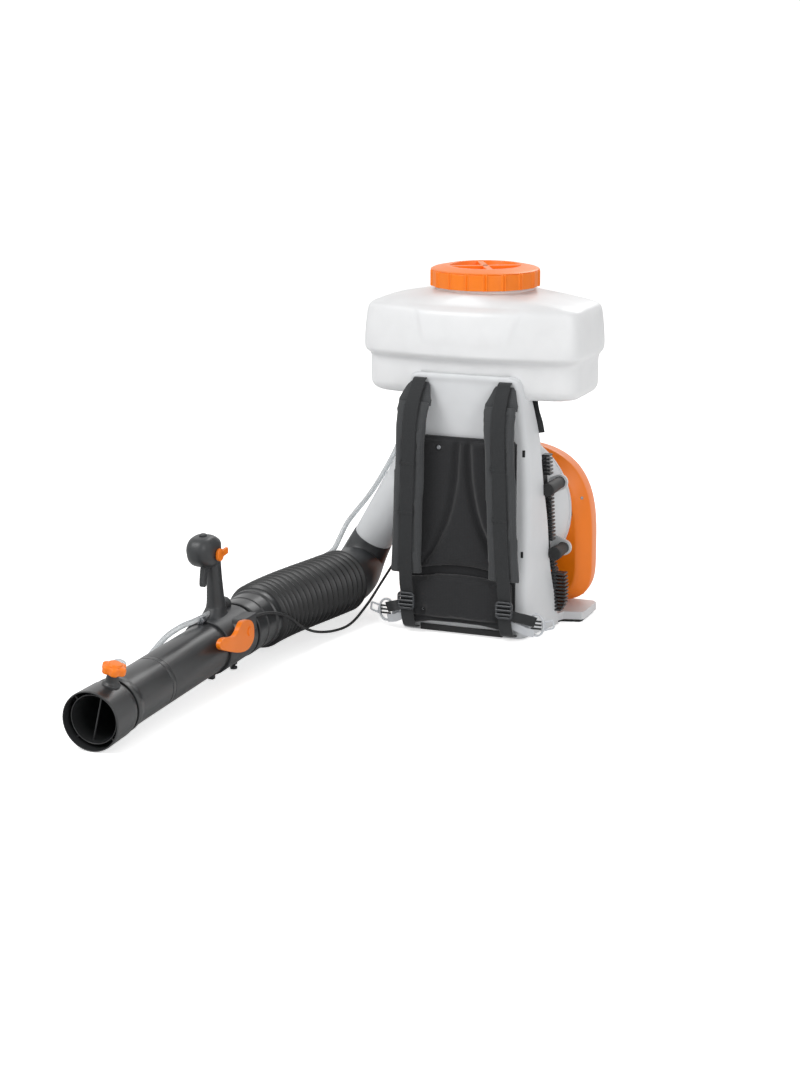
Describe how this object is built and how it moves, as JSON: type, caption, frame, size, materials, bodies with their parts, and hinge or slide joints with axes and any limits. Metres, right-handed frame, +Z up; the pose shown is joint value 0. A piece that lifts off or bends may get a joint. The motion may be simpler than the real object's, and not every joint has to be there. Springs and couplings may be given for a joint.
{
  "type": "backpack mist blower",
  "caption": "Motorised backpack mist blower: liquid tank with screw cap on a padded carrying frame, engine-driven fan, bellows and blow tube with spray nozzle and control handle.",
  "frame": {"origin": "on the floor, under the middle of the base", "axes": "+Z up, +X the wearer's left, -Y the way the wearer's back and the blow tube lie from the frame"},
  "size_m": [0.5867, 1.1787, 0.6829],
  "materials": {
    "grey_polymer": "moulded, light grey, fine grain",
    "black_polymer": "moulded, black, satin",
    "orange_polymer": "moulded, orange, semi-gloss",
    "tank_polymer": "blow-moulded, milky and slightly see-through",
    "hose_polymer": "clear soft hose",
    "black_rubber": "moulded rubber, matt",
    "cast_alloy": "cast and blasted",
    "steel": "machined",
    "pad_cloth": "black woven cloth over foam",
    "strap_cloth": "dark grey woven cloth and webbing",
    "filter_paper": "pleated filter paper",
    "buckle_polymer": "moulded, mid grey",
    "hook_polymer": "moulded, off-white",
    "plug_ceramic": "glazed ceramic"
  },
  "bodies": {
    "frame": {"base_tray": "grey_polymer", "back_plate": "grey_polymer", "tank_strainer": "black_polymer", "intake_grille": "black_polymer", "filter_cover": "black_polymer", "starter_housing": "black_polymer", "outlet_elbow": "black_polymer", "tank_outlet": "black_polymer", "engine_cover": "orange_polymer", "tank": "tank_polymer", "fuel_tank": "tank_polymer", "spray_hose_rear": "hose_polymer", "spray_hose_mid": "hose_polymer", "pressure_hose": "hose_polymer", "rubber_mat": "black_rubber", "bellows_rear": "black_rubber", "throttle_cable": "black_rubber", "buffer_right_upper": "black_rubber", "buffer_right_lower": "black_rubber", "buffer_left_upper": "black_rubber", "buffer_left_lower": "black_rubber", "fan_housing_front": "cast_alloy", "fan_housing_rear": "cast_alloy", "crankcase": "cast_alloy", "cylinder": "cast_alloy", "carburettor": "cast_alloy", "muffler": "steel", "back_pad": "pad_cloth", "lumbar_pad": "pad_cloth", "shoulder_strap_left": "strap_cloth", "shoulder_strap_right": "strap_cloth", "webbing_left": "strap_cloth", "webbing_right": "strap_cloth", "air_filter": "filter_paper", "buckle_left": "buckle_polymer", "buckle_right": "buckle_polymer", "strap_hook_left": "hook_polymer", "strap_hook_right": "hook_polymer", "spark_plug": "plug_ceramic"},
    "bellows_link": {"bellows_front": "black_rubber"},
    "blow_tube": {"tube_cuff": "black_polymer", "blow_tube_rear": "black_polymer", "blow_tube_front": "black_polymer", "nozzle": "black_polymer", "metering_valve": "black_polymer", "handle_clamp": "black_polymer", "control_handle": "black_polymer", "spray_hose_front": "hose_polymer"},
    "cap_seal": {"cap_seal": "black_rubber"},
    "tank_cap": {"tank_cap": "orange_polymer"},
    "fuel_cap": {"fuel_cap": "orange_polymer"},
    "crank": {"fan_wheel": "cast_alloy", "crankshaft": "steel"},
    "piston": {"piston": "cast_alloy"},
    "starter_grip": {"starter_grip": "black_polymer"},
    "throttle_trigger": {"throttle_trigger": "black_polymer"},
    "stop_button": {"stop_button": "black_polymer"},
    "setting_lever": {"setting_lever": "orange_polymer"},
    "valve_lever": {"valve_lever": "orange_polymer"},
    "metering_knob": {"metering_knob": "orange_polymer"}
  },
  "joints": [
    {"name": "tube_yaw", "type": "hinge", "parent": "frame", "child": "bellows_link", "pos_m": [-0.2711, -0.1695, 0.0723], "axis": [0, 0, 1], "range_deg": [-30, 30], "deforming": ["bellows_rear", "spray_hose_mid", "throttle_cable"]},
    {"name": "tube_pitch", "type": "hinge", "parent": "bellows_link", "child": "blow_tube", "pos_m": [-0.295, -0.3182, 0.0729], "axis": [-1, 0, 0], "range_deg": [0, 40], "deforming": ["bellows_front", "spray_hose_mid", "throttle_cable"]},
    {"name": "cap_lift", "type": "slide", "parent": "frame", "child": "cap_seal", "axis": [0, 0, 1], "range_m": [0, 0.06]},
    {"name": "cap_turn", "type": "hinge", "parent": "cap_seal", "child": "tank_cap", "pos_m": [0, -0.0165, 0.66], "axis": [0, 0, 1], "range_deg": [0, 270]},
    {"name": "fuel_cap_pull", "type": "slide", "parent": "frame", "child": "fuel_cap", "axis": [0, 1, 0], "range_m": [0, 0.04]},
    {"name": "crank_spin", "type": "hinge", "parent": "frame", "child": "crank", "pos_m": [0, 0.06, 0.21], "axis": [0, 1, 0], "continuous": true},
    {"name": "piston_slide", "type": "slide", "parent": "frame", "child": "piston", "axis": [0, 0, 1], "range_m": [-0.034, 0]},
    {"name": "starter_pull", "type": "slide", "parent": "frame", "child": "starter_grip", "axis": [1, 0, 0], "range_m": [0, 0.5], "stiffness_N_per_m": 12},
    {"name": "throttle_trigger", "type": "hinge", "parent": "blow_tube", "child": "throttle_trigger", "pos_m": [-0.30897, -0.5696, 0.21271], "axis": [0.9999, -0.0134, 0], "range_deg": [0, 12], "stiffness_Nm_per_rad": 0.1},
    {"name": "stop_button", "type": "slide", "parent": "blow_tube", "child": "stop_button", "axis": [0.0012, 0.0858, -0.9963], "range_m": [0, 0.003], "stiffness_N_per_m": 300},
    {"name": "setting_lever", "type": "hinge", "parent": "blow_tube", "child": "setting_lever", "pos_m": [-0.28505, -0.57551, 0.23107], "axis": [0.9999, -0.0134, 0], "range_deg": [0, 55]},
    {"name": "valve_lever", "type": "hinge", "parent": "blow_tube", "child": "valve_lever", "pos_m": [-0.25256, -0.53971, 0.08863], "axis": [-0.9999, 0.0134, 0], "range_deg": [0, 90]},
    {"name": "metering_knob", "type": "hinge", "parent": "blow_tube", "child": "metering_knob", "pos_m": [-0.28868, -0.94689, 0.13062], "axis": [0.2415, -0.0358, 0.9698], "range_deg": [0, 300]}
  ]
}
